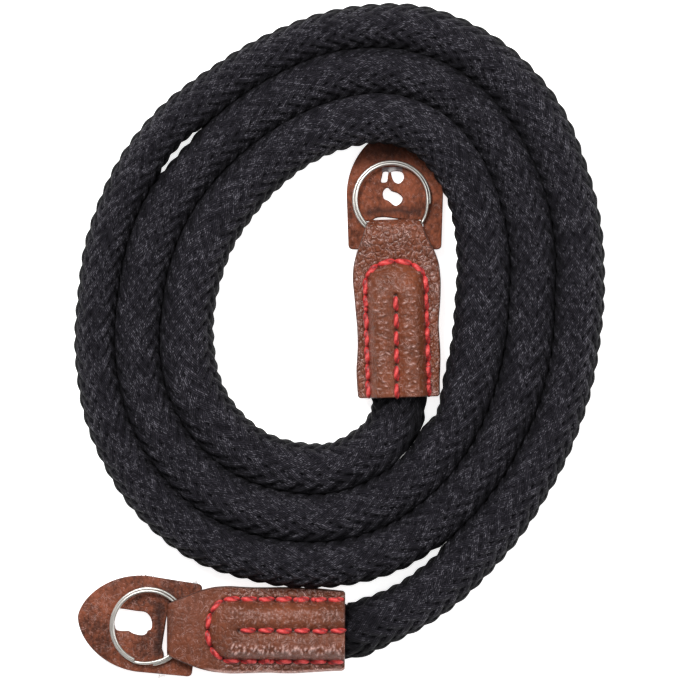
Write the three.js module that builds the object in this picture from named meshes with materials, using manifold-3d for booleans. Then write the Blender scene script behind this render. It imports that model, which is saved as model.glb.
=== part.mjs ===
// Coiled camera strap: one braided rope laid as a flat spiral, a folded leather end stitched on
// each end of the rope, a split ring through each fold and a leather guard under each ring.
// Millimetres, +Z up. The strap lies on the plane z = 0, with the middle of its outline at the origin.
import * as THREE from 'three';
import { mergeVertices } from 'three/addons/utils/BufferGeometryUtils.js';
import Module from 'manifold-3d';

const wasm = await Module();
wasm.setup();

// Driving sizes
const FIT = 0.3; // gap between neighbouring pieces
const ROPE = { width: 12.9, height: 11.8, sides: 12, step: 7.5, turnGap: 0.3 };
const POCKET = { start: 13, stop: 44.5, width: 13, height: 6.8, floor: 1.6 };
const LEATHER = { length: 42.8 };
const RING = {
  outer: 9.5, inner: 7.95, coil: 0.75, rise: 0.85, jogDegrees: 26, endGapDegrees: 3, steps: 64,
};
const GUARD = {
  thickness: 1.5, half: 11.6, baseHalf: 11.2, base: 7.3, shoulder: -5.8, tip: -21.7, taper: 0.6,
  slitHalf: 7.4, slitFrom: -1.2, slitTo: 1.95, slitCorner: 0.4, corner: 1.0,
};
const HARDWARE = { height: 1.95, tiltDegrees: 5 }; // the guard leans from the fold down to the floor
const COIL_CENTRE = new THREE.Vector2(-1.05, 9.8);
const GUARD_LIFT = { height: 1.7, bearing: 65, reach: 60 }; // the inner turn crosses the guard's tip

// The two ends: where the fold is, which way the leather runs from it, how far the guard is turned
// from the leather and its outline is off the middle, the centre of the ring, the bearing of the
// ring's step, and the openings of the guard's lug window
const ENDS = [
  {
    name: 'inner', fold: [13.05, 29.2], heading: -88.4, guardTurn: -1.6, guardOff: 0.3,
    ringCentre: [-4.6, -0.4], stepBearing: 58,
    windows: [
      { from: -12.6, to: -8.3, right: -3.2, left: 2.2, corner: 0.8 },
      { from: -7.2, to: -3.0, right: -2.7, left: 1.9, corner: 1.4 },
    ],
  },
  {
    name: 'outer', fold: [-41.45, -69.3], heading: -0.4, guardTurn: -6.5, guardOff: 0.5,
    ringCentre: [-4.2, 0.6], stepBearing: -114,
    windows: [{ from: -12.4, to: -3.2, right: -2.65, left: 3.45, corner: 1.6 }],
  },
];

// Radii of the coil at a bearing: its inner edge, the seams between its turns and its outer edge.
// The rope runs from the first row to the last and goes on in the first row, one turn further out.
// A parting is a gap that stands open between the middle turn and the outer one.
const COIL_ROWS = [
  { bearing: 285, inner: 30.2, seamA: 43.0, seamB: 55.0, outer: 66.5 },
  { bearing: 270, inner: 33.9, seamA: 46.2, seamB: 57.7, outer: 68.9 },
  { bearing: 255, inner: 35.2, seamA: 47.5, seamB: 59.2, outer: 70.3 },
  { bearing: 240, inner: 35.5, seamA: 48.2, seamB: 60.1, outer: 71.2 },
  { bearing: 225, inner: 34.5, seamA: 47.6, seamB: 59.0, outer: 69.9 },
  { bearing: 210, inner: 32.6, seamA: 46.0, seamB: 57.0, outer: 67.3 },
  { bearing: 195, inner: 30.0, seamA: 43.6, seamB: 54.5, outer: 64.4 },
  { bearing: 180, inner: 28.4, seamA: 41.3, seamB: 52.2, outer: 62.0 },
  { bearing: 165, inner: 27.5, seamA: 40.4, seamB: 51.6, outer: 61.5 },
  { bearing: 150, inner: 27.4, seamA: 40.3, seamB: 51.7, outer: 61.9, parting: 0.35 },
  { bearing: 135, inner: 27.9, seamA: 40.7, seamB: 52.0, outer: 62.5, parting: 1.0 },
  { bearing: 120, inner: 29.4, seamA: 42.0, seamB: 52.9, outer: 63.2 },
  { bearing: 105, inner: 32.3, seamA: 44.3, seamB: 55.8, outer: 65.7 },
  { bearing: 90, inner: 35.4, seamA: 47.8, seamB: 59.6, outer: 69.7 },
  { bearing: 75, inner: 38.9, seamA: 51.1, seamB: 62.2, outer: 73.4 },
  { bearing: 60, inner: 39.7, seamA: 51.5, seamB: 62.4, outer: 74.2 },
  { bearing: 45, inner: 36.8, seamA: 49.1, seamB: 60.1, outer: 72.6 },
  { bearing: 30, inner: 33.2, seamA: 46.0, seamB: 57.2, outer: 69.0 },
  { bearing: 15, inner: 30.2, seamA: 43.5, seamB: 54.6, outer: 66.4 },
  { bearing: 0, inner: 28.8, seamA: 41.8, seamB: 52.8, outer: 64.6 },
  { bearing: -15, inner: 29.0, seamA: 42.4, seamB: 53.5, outer: 64.9 },
  { bearing: -30, inner: 30.8, seamA: 44.2, seamB: 55.4, outer: 66.7 },
  { bearing: -45, inner: 35.55, seamA: 47.4, seamB: 58.1, outer: 70.1 },
  { bearing: -52.5, inner: 36.6, seamA: 49.1, seamB: 59.9, outer: 72.5 },
  { bearing: -60, inner: 39.4, seamA: 51.1, seamB: 61.9, outer: 75.2 },
];
const TURNS = 3;

// The rope's way between the coil and the mouths of the leather ends
const LEAD_IN = [
  { x: 13.2, y: -19.4, width: 12.4, height: 10.2 },
  { x: 10.45, y: -23.45, width: 11.8, height: 11.6 },
];
const LEAD_OUT = [
  { x: 26.5, y: -56.6, width: 12.1, height: 11.8 },
  { x: 18.4, y: -62.7, width: 12.1, height: 11.8 },
  { x: 12.3, y: -65.9, width: 12.3, height: 11.6 },
  { x: 6.4, y: -68.4, width: 12.8, height: 10.2 },
];
const POCKET_STOPS = [POCKET.start, 26, 38, POCKET.stop];

// Sections of a leather end along its axis, from the fold to the mouth: half width, half width of the
// flat underside, lower and upper height of the edge, half width inside the seam, top, centre groove
const LEATHER_ROWS = [
  { along: 0, half: 6.3, flat: 5.6, low: 1.2, high: 6.3, seam: 4.5, top: 6.7, groove: 0 },
  { along: 1.2, half: 6.7, flat: 6.2, low: 0.6, high: 7.3, seam: 4.6, top: 7.9, groove: 0 },
  { along: 5, half: 8.1, flat: 7.2, low: 0.7, high: 7.3, seam: 5.2, top: 8.0, groove: 0 },
  { along: 7.6, half: 9.2, flat: 6.4, low: 1.9, high: 6.4, seam: 5.4, top: 7.0, groove: 0 },
  { along: 10.2, half: 9.9, flat: 5.2, low: 3.0, high: 6.2, seam: 4.6, top: 6.3, groove: 0 },
  { along: 11.8, half: 10.15, flat: 4.7, low: 3.1, high: 6.2, seam: 6.2, top: 8.0, groove: 0 },
  { along: 15, half: 10.35, flat: 4.6, low: 3.1, high: 6.2, seam: 7.1, top: 10.2, groove: 0.1 },
  { along: 19, half: 10.15, flat: 4.6, low: 3.1, high: 6.2, seam: 7.3, top: 10.7, groove: 0.6 },
  { along: 25, half: 9.85, flat: 4.6, low: 3.1, high: 6.2, seam: 7.3, top: 10.7, groove: 0.65 },
  { along: 36, half: 10.0, flat: 4.6, low: 3.1, high: 6.2, seam: 7.3, top: 10.7, groove: 0.7 },
  { along: 42.8, half: 9.7, flat: 4.6, low: 3.1, high: 6.2, seam: 7.3, top: 10.7, groove: 0.7 },
];

// Shape of the padded part between the seam and the middle: parts of the seam's half width, of the
// climb from the edge to the top, and of the centre groove
const PAD_PROFILE = [
  { across: 1, climb: 0, groove: 0 },
  { across: 0.9, climb: 0.45, groove: 0 },
  { across: 0.68, climb: 0.88, groove: 0 },
  { across: 0.42, climb: 1, groove: 0 },
  { across: 0.15, climb: 1, groove: 0.6 },
];
const UNDERSIDE = { ease: 0.3, slope: 0.85 }; // where the underside lifts off the floor towards the edge

const MATERIALS = {
  rope: new THREE.MeshStandardMaterial({ color: '#222326', roughness: 0.95 }),
  leather: new THREE.MeshStandardMaterial({ color: '#6e4133', roughness: 0.55 }),
  guard: new THREE.MeshStandardMaterial({ color: '#6a3d2f', roughness: 0.75 }),
  steel: new THREE.MeshStandardMaterial({ color: '#c9c7c2', roughness: 0.2, metalness: 1 }),
};

const radians = THREE.MathUtils.degToRad;

// A closed body skinned over rings of [x, y, z] points that turn right-handed about the row's way
function loft(rings) {
  const count = rings[0].length;
  const points = rings.flat();
  const triangles = [];
  for (let i = 0; i + 1 < rings.length; i += 1) {
    for (let j = 0; j < count; j += 1) {
      const a = i * count + j;
      const b = i * count + ((j + 1) % count);
      triangles.push(a, b, b + count, a, b + count, a + count);
    }
  }
  const middleOf = (ring) => [0, 1, 2].map((k) => ring.reduce((sum, p) => sum + p[k], 0) / count);
  const first = points.push(middleOf(rings[0])) - 1;
  const last = points.push(middleOf(rings[rings.length - 1])) - 1;
  const lastRing = (rings.length - 1) * count;
  for (let j = 0; j < count; j += 1) {
    const next = (j + 1) % count;
    triangles.push(first, next, j, last, lastRing + j, lastRing + next);
  }
  const geometry = new THREE.BufferGeometry();
  geometry.setAttribute('position', new THREE.Float32BufferAttribute(points.flat(), 3));
  geometry.setIndex(triangles);
  return geometry;
}

function toSolid(geometry, matrix) {
  const bare = geometry.clone().applyMatrix4(matrix);
  bare.deleteAttribute('normal');
  bare.deleteAttribute('uv');
  const merged = mergeVertices(bare);
  return new wasm.Manifold(new wasm.Mesh({
    numProp: 3,
    vertProperties: new Float32Array(merged.attributes.position.array),
    triVerts: new Uint32Array(merged.index.array),
  }));
}

function toGeometry(solid) {
  const { vertProperties, triVerts } = solid.getMesh();
  const geometry = new THREE.BufferGeometry();
  geometry.setAttribute('position', new THREE.BufferAttribute(vertProperties, 3));
  geometry.setIndex(new THREE.BufferAttribute(triVerts, 1));
  geometry.computeVertexNormals();
  return geometry;
}

function piece(name, geometry, material) {
  const mesh = new THREE.Mesh(geometry, material);
  mesh.name = name;
  return mesh;
}

// Rope

// One row per control point: place, height of the rope's underside, width and height of its section
function coilPoints() {
  const rows = [];
  for (let turn = 0; turn < TURNS; turn += 1) {
    for (const row of COIL_ROWS) {
      const edges = [row.inner, row.seamA, row.seamB, row.outer];
      const openings = [0, 0, row.parting ?? 0, 0];
      const near = edges[turn] + openings[turn] / 2;
      const far = edges[turn + 1] - openings[turn + 1] / 2;
      const radius = (near + far) / 2;
      const angle = radians(row.bearing);
      const off = row.bearing - GUARD_LIFT.bearing;
      const crosses = turn === 0 && Math.abs(off) < GUARD_LIFT.reach;
      const lift = crosses ? GUARD_LIFT.height * Math.cos(radians((90 * off) / GUARD_LIFT.reach)) ** 2 : 0;
      rows.push({
        x: COIL_CENTRE.x + radius * Math.cos(angle),
        y: COIL_CENTRE.y + radius * Math.sin(angle),
        lift,
        angle,
        room: far - near - ROPE.turnGap,
      });
    }
  }
  // Room was measured along the radius, and the rope crosses the radius at a slant
  return rows.map((row, i) => {
    const before = rows[Math.max(i - 1, 0)];
    const after = rows[Math.min(i + 1, rows.length - 1)];
    const way = new THREE.Vector2(after.x - before.x, after.y - before.y).normalize();
    const square = Math.abs(way.x * Math.sin(row.angle) - way.y * Math.cos(row.angle));
    return { ...row, width: Math.min(ROPE.width, row.room * square), height: ROPE.height };
  });
}

function pocketPoints(end) {
  const heading = radians(end.heading);
  return POCKET_STOPS.map((along) => ({
    x: end.fold[0] + along * Math.cos(heading),
    y: end.fold[1] + along * Math.sin(heading),
    lift: POCKET.floor + FIT,
    width: POCKET.width,
    height: POCKET.height,
  }));
}

function ropeSection(route, sizes, t) {
  const centre = route.getPoint(t);
  const size = sizes.getPoint(t);
  const way = route.getTangent(t).setZ(0).normalize();
  const ring = [];
  for (let j = 0; j < ROPE.sides; j += 1) {
    const angle = (2 * Math.PI * j) / ROPE.sides;
    const across = (size.x / 2) * Math.cos(angle);
    const up = (size.y / 2) * Math.sin(angle);
    ring.push([centre.x - way.y * across, centre.y + way.x * across, Math.max(centre.z + up, 0)]);
  }
  return ring;
}

function ropeGeometry() {
  const rows = [
    ...pocketPoints(ENDS[0]), ...LEAD_IN, ...coilPoints(), ...LEAD_OUT, ...pocketPoints(ENDS[1]).reverse(),
  ];
  const place = (row) => new THREE.Vector3(row.x, row.y, (row.lift ?? 0) + row.height / 2);
  const stops = rows.map(place);
  const route = new THREE.CatmullRomCurve3(stops, false, 'centripetal');
  const sizes = new THREE.CatmullRomCurve3(rows.map((row) => new THREE.Vector3(row.width, row.height, 0)));
  const spans = stops.length - 1;
  const rings = [];
  for (let i = 0; i < spans; i += 1) {
    const parts = Math.max(1, Math.round(stops[i].distanceTo(stops[i + 1]) / ROPE.step));
    for (let j = 0; j < parts; j += 1) {
      rings.push(ropeSection(route, sizes, (i + j / parts) / spans));
    }
  }
  rings.push(ropeSection(route, sizes, 1));
  return loft(rings);
}

// Split ring: two coils of flattened wire, joined by one step up

class SplitRingCurve extends THREE.Curve {
  getPoint(t, target = new THREE.Vector3()) {
    const jog = radians(RING.jogDegrees);
    const start = jog / 2 + radians(RING.endGapDegrees);
    const angle = start + t * (4 * Math.PI - 2 * start);
    const climbed = THREE.MathUtils.smoothstep(angle, 2 * Math.PI - jog / 2, 2 * Math.PI + jog / 2);
    const radius = (RING.outer + RING.inner) / 2;
    const height = RING.coil / 2 + RING.rise * climbed;
    return target.set(radius * Math.cos(angle), radius * Math.sin(angle), height);
  }
}

function ringGeometry() {
  const tall = RING.coil / 2;
  const wide = (RING.outer - RING.inner) / 2;
  const section = new THREE.Shape([
    new THREE.Vector2(-tall, -wide), new THREE.Vector2(tall, -wide),
    new THREE.Vector2(tall, wide), new THREE.Vector2(-tall, wide),
  ]);
  return new THREE.ExtrudeGeometry(section, {
    steps: RING.steps, extrudePath: new SplitRingCurve(), bevelEnabled: false,
  });
}

// The room that the ring needs, for cutting the leather
function ringRoom() {
  const [inner, outer] = [RING.inner - FIT, RING.outer + FIT];
  const [low, high] = [-FIT, RING.rise + RING.coil + FIT];
  const profile = [[inner, low], [outer, low], [outer, high], [inner, high], [inner, low]];
  const lathe = new THREE.LatheGeometry(profile.map(([r, z]) => new THREE.Vector2(r, z)), 48);
  return lathe.rotateX(Math.PI / 2);
}

// Ring guard: a tongue with a slit for the fold and a window for the camera's lug

function roundedHole({ from, to, right, left, corner }) {
  const hole = new THREE.Path();
  hole.absarc(to - corner, right + corner, corner, -Math.PI / 2, 0);
  hole.absarc(to - corner, left - corner, corner, 0, Math.PI / 2);
  hole.absarc(from + corner, left - corner, corner, Math.PI / 2, Math.PI);
  hole.absarc(from + corner, right + corner, corner, Math.PI, 1.5 * Math.PI);
  hole.closePath();
  return hole;
}

function guardGeometry(off, windows, grow) {
  const outline = [];
  const tongueSteps = 12;
  for (let i = -tongueSteps; i <= tongueSteps; i += 1) {
    const reach = Math.cos((Math.PI / 2) * (i / tongueSteps));
    const half = Math.sign(i) * (GUARD.half + grow) * (1 - reach ** 2) ** GUARD.taper;
    outline.push(new THREE.Vector2(GUARD.shoulder + (GUARD.tip - grow - GUARD.shoulder) * reach, off - half));
  }
  const base = GUARD.base + grow;
  const baseHalf = GUARD.baseHalf + grow;
  outline.push(new THREE.Vector2(base - GUARD.corner, off - baseHalf));
  outline.push(new THREE.Vector2(base, off - baseHalf + GUARD.corner));
  outline.push(new THREE.Vector2(base, off + baseHalf - GUARD.corner));
  outline.push(new THREE.Vector2(base - GUARD.corner, off + baseHalf));
  const shape = new THREE.Shape(outline);
  const slit = {
    from: GUARD.slitFrom + grow, to: GUARD.slitTo - grow, corner: GUARD.slitCorner,
    right: -GUARD.slitHalf + grow, left: GUARD.slitHalf - grow,
  };
  shape.holes = [slit, ...windows].map(roundedHole);
  const depth = GUARD.thickness + 2 * grow;
  const plate = new THREE.ExtrudeGeometry(shape, { depth, bevelEnabled: false, curveSegments: 4 });
  return plate.translate(0, 0, -grow);
}

// Leather end: the strip folded over ring and guard, sewn down round the flattened rope

function leatherSection(row) {
  const padPoint = ({ across, climb, groove }) => [
    row.seam * across, row.high + (row.top - row.high) * climb - row.groove * groove,
  ];
  const half = [
    [row.flat, 0],
    [Math.max(row.seam, row.flat + UNDERSIDE.ease), row.low * UNDERSIDE.slope],
    [row.half, row.low],
    [row.half, row.high],
    ...PAD_PROFILE.map(padPoint),
  ];
  const otherHalf = half.map(([y, z]) => [-y, z]).reverse();
  const around = [[0, 0], ...half, [0, row.top - row.groove], ...otherHalf];
  return around.map(([y, z]) => [row.along, y, z]);
}

function pocketRoom() {
  const ends = [POCKET.start - FIT, LEATHER.length + 1];
  return loft(ends.map((along) => {
    const ring = [];
    for (let j = 0; j < ROPE.sides; j += 1) {
      const angle = (2 * Math.PI * j) / ROPE.sides;
      const across = (POCKET.width / 2 + FIT) * Math.cos(angle);
      const up = (POCKET.height / 2 + FIT) * Math.sin(angle);
      ring.push([along, across, POCKET.floor + FIT + POCKET.height / 2 + up]);
    }
    return ring;
  }));
}

function leatherGeometry(guardOff, ringMatrix, guardMatrix) {
  const here = new THREE.Matrix4();
  const strip = toSolid(loft(LEATHER_ROWS.map(leatherSection)), here)
    .subtract(toSolid(pocketRoom(), here))
    .subtract(toSolid(ringRoom(), ringMatrix))
    .subtract(toSolid(guardGeometry(guardOff, [], FIT), guardMatrix));
  return toGeometry(strip);
}

// Assembly

function strapEnd(end) {
  const group = new THREE.Group();
  group.position.set(end.fold[0], end.fold[1], 0);
  group.rotation.z = radians(end.heading);

  const hardware = new THREE.Group();
  hardware.position.z = HARDWARE.height;
  hardware.rotation.y = -radians(HARDWARE.tiltDegrees);

  const guardShape = guardGeometry(end.guardOff, end.windows, 0);
  const guard = piece(`ring_guard_${end.name}`, guardShape, MATERIALS.guard);
  guard.rotation.z = radians(end.guardTurn);

  const ring = piece(`split_ring_${end.name}`, ringGeometry(), MATERIALS.steel);
  ring.position.set(...end.ringCentre, GUARD.thickness + FIT);
  ring.rotation.z = radians(end.stepBearing);

  hardware.add(guard, ring);
  hardware.updateMatrixWorld(true);
  const leather = leatherGeometry(end.guardOff, ring.matrixWorld, guard.matrixWorld);
  group.add(hardware, piece(`leather_end_${end.name}`, leather, MATERIALS.leather));
  return group;
}

const strap = new THREE.Group();
strap.add(piece('rope', ropeGeometry(), MATERIALS.rope));
strap.add(...ENDS.map(strapEnd));

export default strap;
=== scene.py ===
# Looks of the coiled camera strap: a braided rope laid as a flat spiral, with a stitched leather end,
# a split ring and a ring guard at each end of it. Metres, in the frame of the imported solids.
import math

import bmesh
import bpy
import numpy as np
from mathutils import Matrix, Vector


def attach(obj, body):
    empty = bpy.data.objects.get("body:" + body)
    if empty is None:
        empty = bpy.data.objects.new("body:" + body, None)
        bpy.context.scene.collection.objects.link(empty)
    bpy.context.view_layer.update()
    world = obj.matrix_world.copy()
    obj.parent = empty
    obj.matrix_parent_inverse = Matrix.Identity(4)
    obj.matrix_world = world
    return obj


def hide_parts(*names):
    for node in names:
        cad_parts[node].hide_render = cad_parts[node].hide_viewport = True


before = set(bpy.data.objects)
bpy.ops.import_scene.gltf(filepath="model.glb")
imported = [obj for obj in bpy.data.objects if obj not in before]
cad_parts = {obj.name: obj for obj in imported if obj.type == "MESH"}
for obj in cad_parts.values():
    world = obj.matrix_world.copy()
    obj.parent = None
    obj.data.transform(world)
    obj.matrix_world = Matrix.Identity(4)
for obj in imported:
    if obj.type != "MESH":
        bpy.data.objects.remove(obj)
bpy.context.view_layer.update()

MM = 0.001
FIT = 0.3 * MM  # gap between neighbouring pieces
WELD = 0.001 * MM  # points nearer than this become one
FINE_WELD = 0.0005 * MM

# Camera: it looks straight down on the strap
IMAGE_SIDE = 680
PIXEL = 0.24 * MM  # size of a pixel of the image at the height of the rope's middle
VIEW_CENTRE = Vector((0.15 * MM, 0.2 * MM, 6 * MM))
CAMERA_HEIGHT = 1.5
CAMERA_REACH = 20
SENSOR = 36 * MM

# Stage: name, place, size and power of each light, which points at the origin
LIGHTS = (
    ("key", (-0.42, 0.65, 0.95), 0.55, 13),
    ("fill", (0.95, 0.2, 0.75), 0.7, 5),
    ("top", (0.1, 0.15, 2.0), 1.3, 5),
)
SKY_STRENGTH = 0.22
FLOOR_HALF = 3.0
FLOOR_DROP = 0.02 * MM  # the floor lies this far under the strap
FLOOR_GLOW = 0.8

# Rope: its route and sections, as in the solid
ROPE_WIDTH = 12.9 * MM
ROPE_HEIGHT = 11.8 * MM
SPAN_POINTS = 60  # between two stops of the route
TURN_GAP = 0.3 * MM
TURNS = 3
COIL_CENTRE = np.array((-1.05, 9.8)) * MM
GUARD_LIFT = 1.7 * MM  # the inner turn climbs over the inner guard's tip
LIFT_BEARING = 65
LIFT_REACH = 60

# Radii of the coil in mm: bearing, inner edge, the two seams between the turns, outer edge, and the
# gap that stands open between the middle turn and the outer one
COIL_ROWS = (
    (285, 30.2, 43.0, 55.0, 66.5, 0),
    (270, 33.9, 46.2, 57.7, 68.9, 0),
    (255, 35.2, 47.5, 59.2, 70.3, 0),
    (240, 35.5, 48.2, 60.1, 71.2, 0),
    (225, 34.5, 47.6, 59.0, 69.9, 0),
    (210, 32.6, 46.0, 57.0, 67.3, 0),
    (195, 30.0, 43.6, 54.5, 64.4, 0),
    (180, 28.4, 41.3, 52.2, 62.0, 0),
    (165, 27.5, 40.4, 51.6, 61.5, 0),
    (150, 27.4, 40.3, 51.7, 61.9, 0.35),
    (135, 27.9, 40.7, 52.0, 62.5, 1.0),
    (120, 29.4, 42.0, 52.9, 63.2, 0),
    (105, 32.3, 44.3, 55.8, 65.7, 0),
    (90, 35.4, 47.8, 59.6, 69.7, 0),
    (75, 38.9, 51.1, 62.2, 73.4, 0),
    (60, 39.7, 51.5, 62.4, 74.2, 0),
    (45, 36.8, 49.1, 60.1, 72.6, 0),
    (30, 33.2, 46.0, 57.2, 69.0, 0),
    (15, 30.2, 43.5, 54.6, 66.4, 0),
    (0, 28.8, 41.8, 52.8, 64.6, 0),
    (-15, 29.0, 42.4, 53.5, 64.9, 0),
    (-30, 30.8, 44.2, 55.4, 66.7, 0),
    (-45, 35.55, 47.4, 58.1, 70.1, 0),
    (-52.5, 36.6, 49.1, 59.9, 72.5, 0),
    (-60, 39.4, 51.1, 61.9, 75.2, 0),
)
# Between the coil and the leather in mm: x, y, width, height
LEAD_IN = ((13.2, -19.4, 12.4, 10.2), (10.45, -23.45, 11.8, 11.6))
LEAD_OUT = (
    (26.5, -56.6, 12.1, 11.8),
    (18.4, -62.7, 12.1, 11.8),
    (12.3, -65.9, 12.3, 11.6),
    (6.4, -68.4, 12.8, 10.2),
)
POCKET_STOPS = np.array((13, 26, 38, 44.5)) * MM  # along the leather, from its fold
POCKET_START = 13 * MM
POCKET_WIDTH = 13 * MM
POCKET_HEIGHT = 6.8 * MM
POCKET_FLOOR = 1.6 * MM

# Braid: strands wind both ways round the rope, each over two and under two of the others
STRANDS = 12  # each way
STRAND_PITCH = 4.15 * MM  # along the rope, from strand to strand
STRAND_POINTS = 4  # points across a strand
STRAND_CROWN = 1.5 * MM  # how far a strand's back stands over its edges
STRAND_SWAY = 0.38 * MM  # how far a strand rises and dips between over and under
BRAID_PROUD = 0.3 * MM  # how far the highest backs stand over the solid's surface
SWELL = 0.05 * MM  # the rope is thicker and thinner by this much in each of two waves
SWELL_WAVES = ((310, 1.3), (173, 4.1))  # radians in a metre, and at the start
SQUEEZE = 1.1 * MM  # how far a strand's edges are pressed out where two turns lie against each other
SQUEEZE_POWER = 8  # the higher, the nearer to the line of contact
PRESSED_GAP = 0.6 * MM  # turns this near are pressed against each other
FREE_GAP = 1.2 * MM
SAME_TURN = 5 * ROPE_WIDTH  # rows nearer than this along the rope are no neighbours
YARNS = 6  # in a strand
YARN_TWISTS = 7.4  # along a strand, between one crossing strand and the next
YARN_BUMP = 0.3 * MM
FLANK_TOP = 10.7 * MM  # below this the flanks of the rope are darkened with painted shade
FLANK_DEPTH = 3.0 * MM  # over which they darken

# The two ends. Lengths are in mm from the fold, along and to the left, and angles in degrees.
# fold, heading: where the leather's fold is, and which way the leather runs from it
# guard_turn, guard_off: how far the guard is turned, and how far its outline is off the middle
# ring_centre, step_bearing: the middle of the ring, and the bearing of the step in its wire
# arch, centre_line, seam_half: where the seam's arch and the centre line start, half the seam's width
# line_drift: how far the centre line drifts to the left
# widen: how much wider than the table the leather is on its right and on its left
# neck_grain, flange_grain, pad_grain, guard_grain: how deep the grain is there
# crease_gain, crease_columns: how high and how far out the pad's creases are, on the right and on the left
# crease_step, crest_power: how far they lie apart, and how narrow the painted highlights on their backs are
# rim_highlight: how strongly the right rim is painted with a highlight
# stitch_end, stitch_pinch: which part of a stitch is sunk at each end, and how thin it is there
# shade_from: where the painted shadow of the rope on the guard's tip starts
# lip: from where to where, and how far out, the guard's lip is grey, with a painted highlight in its middle
# fuzz: where fibres stand out of the guard's edge: x, y, spread along the edge, count
ENDS = (
    {
        "name": "inner", "seed": 3, "fold": (13.05, 29.2), "heading": -88.4,
        "guard_turn": -1.6, "guard_off": 0.3, "ring_centre": (-4.6, -0.3), "step_bearing": 67,
        "arch": 10.2, "centre_line": 18.2, "seam_half": 7.13, "line_drift": -0.6, "widen": (-0.2, 0.45),
        "neck_grain": 1.0, "flange_grain": 1.0, "pad_grain": 0.35, "guard_grain": 0.15,
        "crease_gain": (1.1, 1.1), "crease_columns": ((2.7, 4.2), (2.7, 4.2)), "crease_step": 1.6,
        "crest_power": 3, "rim_highlight": 0.0, "stitch_end": 0.02, "stitch_pinch": 0.65,
        "shade_from": -11.5, "lip": (-11.2, -12.6, 2.6), "fuzz": (),
    },
    {
        "name": "outer", "seed": 8, "fold": (-41.45, -69.3), "heading": -0.4,
        "guard_turn": -6.5, "guard_off": 0.5, "ring_centre": (-4.2, 0.6), "step_bearing": -98,
        "arch": 9.9, "centre_line": 17.4, "seam_half": 7.3, "line_drift": 0.1, "widen": (0.25, 0.25),
        "neck_grain": 0.35, "flange_grain": 1.2, "pad_grain": 0.45, "guard_grain": 0.38,
        "crease_gain": (2.8, 0.6), "crease_columns": ((4.0, 4.9), (2.7, 4.2)), "crease_step": 1.0,
        "crest_power": 1.5, "rim_highlight": 0.8, "stitch_end": 0.06, "stitch_pinch": 0.55,
        "shade_from": -24.0, "lip": None,
        "fuzz": ((-6.6, 12.6, 3.4, 14), (5.8, 11.3, 1.8, 7), (-2.0, -11.4, 2.0, 3)),
    },
)
LEATHER_LENGTH = 42.8 * MM
# Sections of a leather end in mm: along, half width, half width of the flat underside, lower and upper
# height of the edge, top of the neck's crown
LEATHER_ROWS = np.array((
    (0, 6.3, 5.6, 1.2, 6.3, 6.7),
    (1.2, 6.7, 6.2, 0.6, 7.3, 7.9),
    (5, 8.1, 7.2, 0.7, 7.3, 8.0),
    (7.6, 9.2, 6.4, 1.9, 6.4, 7.0),
    (10.2, 9.9, 5.2, 3.0, 6.2, 6.3),
    (11.8, 10.15, 4.7, 3.1, 6.2, 6.2),
    (15, 10.35, 4.6, 3.1, 6.2, 6.2),
    (19, 10.15, 4.6, 3.1, 6.2, 6.2),
    (25, 9.85, 4.6, 3.1, 6.2, 6.2),
    (36, 10.0, 4.6, 3.1, 6.2, 6.2),
    (42.8, 9.7, 4.6, 3.1, 6.2, 6.2),
)) * MM
ROW_EASE = 0.9 * MM  # the corners of the table are eased over this much to each side
FOLD_RADIUS = 2.4 * MM
FOLD_HEIGHT = 4.0 * MM
EDGE_RADIUS = 0.5 * MM
EDGE_WAVE = 0.15 * MM  # the cut edges wander this far to and fro
EDGE_WAVES = (230, 520)  # radians in a metre
EDGE_RIPPLE = 0.35  # of the second wave, where the first is 1
EDGE_WAVE_START = 6 * MM  # along the leather, where the edges wander in full
WIDENED = np.array((3, 12, 30, 41)) * MM  # a side widens over the first two and narrows over the last two
MOUTH_CORNER = 0.8 * MM
MOUTH_EASE = 0.15 * MM  # the rim of the mouth is eased by this much
LAYER_GROOVE = 0.22 * MM  # along the edge, between the two layers of leather
LAYER_GROOVE_HALF = 0.07  # of the edge's height
ARCH_DEPTH = 5.5 * MM
ARCH_POWER = 2.1
PAD_HEIGHT = 4.5 * MM
PAD_SHOULDER = 4.2 * MM
PAD_RUN_UP = 9 * MM  # the pad reaches its height this far behind the arch
CENTRE_GROOVE = 0.95 * MM
CENTRE_GROOVE_HALF = 1.3 * MM
CENTRE_GROOVE_START = np.array((-2, 1.5)) * MM  # from its first hole
SEAM_TRENCH = 0.3 * MM
SEAM_TRENCH_HALF = 0.55 * MM
HOLE_DEPTH = 0.45 * MM
HOLE_RADIUS = 0.46 * MM
CREASE_HIGHLIGHT_HEIGHT = 0.18 * MM  # a crease this high gets the full painted highlight on its back
PAD_GRAIN = np.array((-0.6, 1.6)) * MM  # from the seam, where the pad's grain begins
FLANGE_GRAIN = np.array((2, 7)) * MM  # from the arch, where the flanges' grain begins

# Points of a leather end's mesh: round the fold, along, round a corner of the mouth, across the top, down
# a cut edge as parts of its height, and into the pocket
FOLD_POINTS = 12
LENGTH_POINTS = 150
CORNER_POINTS = 8
WIDTH_POINTS = 97
WIDTH_CROWDING = 0.3  # how far the points across crowd towards the edges
WALL_STOPS = np.array((0.12, 0.3, 0.44, 0.5, 0.56, 0.7, 0.88))
POCKET_POINTS = 12
MOUTH_SHORT = 0.12 * MM  # the last loop before the rim is this far short of the mouth

# Places of a leather end: its dark cut edge, a rim painted with a highlight, and needle holes painted dark as
# shade. What lies past the cut edge is above 0.
RIM_DARK = np.array((-0.45, -0.05)) * MM
RIM_HIGHLIGHT = np.array((-0.8, -0.35)) * MM
HIGHLIGHT_START = np.array((8, 12)) * MM  # along the leather
WALL_PAST = -0.28 * MM
WALL_UNDER = 0.2 * MM  # the dark wall reaches this far under the edge's lower height
WALL_SHORT = 0.25 * MM  # and stays this far short of its upper height
HOLE_UNDER = 1 * MM  # holes are painted dark, as shade, down to this far under the upper height
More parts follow.
